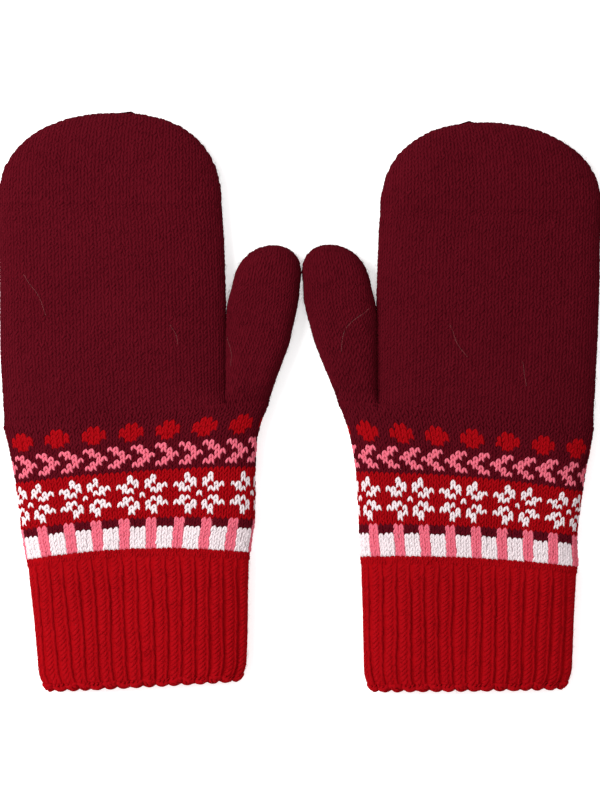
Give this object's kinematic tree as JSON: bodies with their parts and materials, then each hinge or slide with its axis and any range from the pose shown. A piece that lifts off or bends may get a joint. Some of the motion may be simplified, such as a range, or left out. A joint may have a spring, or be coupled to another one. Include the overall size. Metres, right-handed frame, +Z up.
{
  "type": "pair of knitted mittens",
  "caption": "Pair of knitted wool mittens lying flat: burgundy hands and thumbs, colourwork bands at the wrist, red ribbed cuffs.",
  "frame": {"origin": "on the table under the middle of the pair as it lies, with the two thumbs side by side", "axes": "+X across the pair towards the right-hand mitten, +Y from the cuffs to the fingertips, +Z up from the table"},
  "size_m": [0.287, 0.2747, 0.015],
  "materials": {
    "burgundy_yarn": "soft, slightly fuzzy wool stocking stitch",
    "red_yarn": "soft wool, ribbed or stocking stitch",
    "pink_yarn": "soft wool colourwork",
    "white_yarn": "soft wool colourwork"
  },
  "bodies": {
    "left_hand": {"left_hand_tube": "burgundy_yarn", "left_dot_band": "red_yarn", "left_chevron_band": "pink_yarn", "left_snowflake_band": "red_yarn", "left_block_band": "white_yarn", "left_yarn_strands": "white_yarn"},
    "left_fingers": {"left_fingertip_cap": "burgundy_yarn", "left_fingertip_seam": "burgundy_yarn"},
    "left_thumb": {"left_thumb_tube": "burgundy_yarn", "left_thumb_seam": "burgundy_yarn"},
    "left_cuff": {"left_rib_cuff": "red_yarn", "left_cuff_edge": "red_yarn"},
    "right_hand": {"right_hand_tube": "burgundy_yarn", "right_dot_band": "red_yarn", "right_chevron_band": "pink_yarn", "right_snowflake_band": "red_yarn", "right_block_band": "white_yarn", "right_yarn_strands": "white_yarn"},
    "right_fingers": {"right_fingertip_cap": "burgundy_yarn", "right_fingertip_seam": "burgundy_yarn"},
    "right_thumb": {"right_thumb_tube": "burgundy_yarn", "right_thumb_seam": "burgundy_yarn"},
    "right_cuff": {"right_rib_cuff": "red_yarn", "right_cuff_edge": "red_yarn"}
  },
  "joints": [
    {"name": "pair_apart", "type": "slide", "parent": "left_hand", "child": "right_hand", "axis": [1, 0, 0], "range_m": [0, 0.05]},
    {"name": "left_finger_fold", "type": "hinge", "parent": "left_hand", "child": "left_fingers", "pos_m": [-0.0895, 0.08, 0.0152], "axis": [1, 0, 0], "range_deg": [0, 70]},
    {"name": "right_finger_fold", "type": "hinge", "parent": "right_hand", "child": "right_fingers", "pos_m": [0.09, 0.08, 0.0152], "axis": [1, 0, 0], "range_deg": [0, 70]},
    {"name": "left_thumb_lift", "type": "hinge", "parent": "left_hand", "child": "left_thumb", "pos_m": [-0.02475, -0.0025, 0.0152], "axis": [1, 0, 0], "range_deg": [0, 65]},
    {"name": "right_thumb_lift", "type": "hinge", "parent": "right_hand", "child": "right_thumb", "pos_m": [0.027, -0.0025, 0.0152], "axis": [1, 0, 0], "range_deg": [0, 65]},
    {"name": "left_cuff_fold", "type": "hinge", "parent": "left_hand", "child": "left_cuff", "pos_m": [-0.07715, -0.07325, 0.0133], "axis": [-0.9995, -0.0329, 0], "range_deg": [0, 50]},
    {"name": "right_cuff_fold", "type": "hinge", "parent": "right_hand", "child": "right_cuff", "pos_m": [0.08045, -0.076, 0.0133], "axis": [-0.9989, 0.0479, 0], "range_deg": [0, 50]}
  ]
}
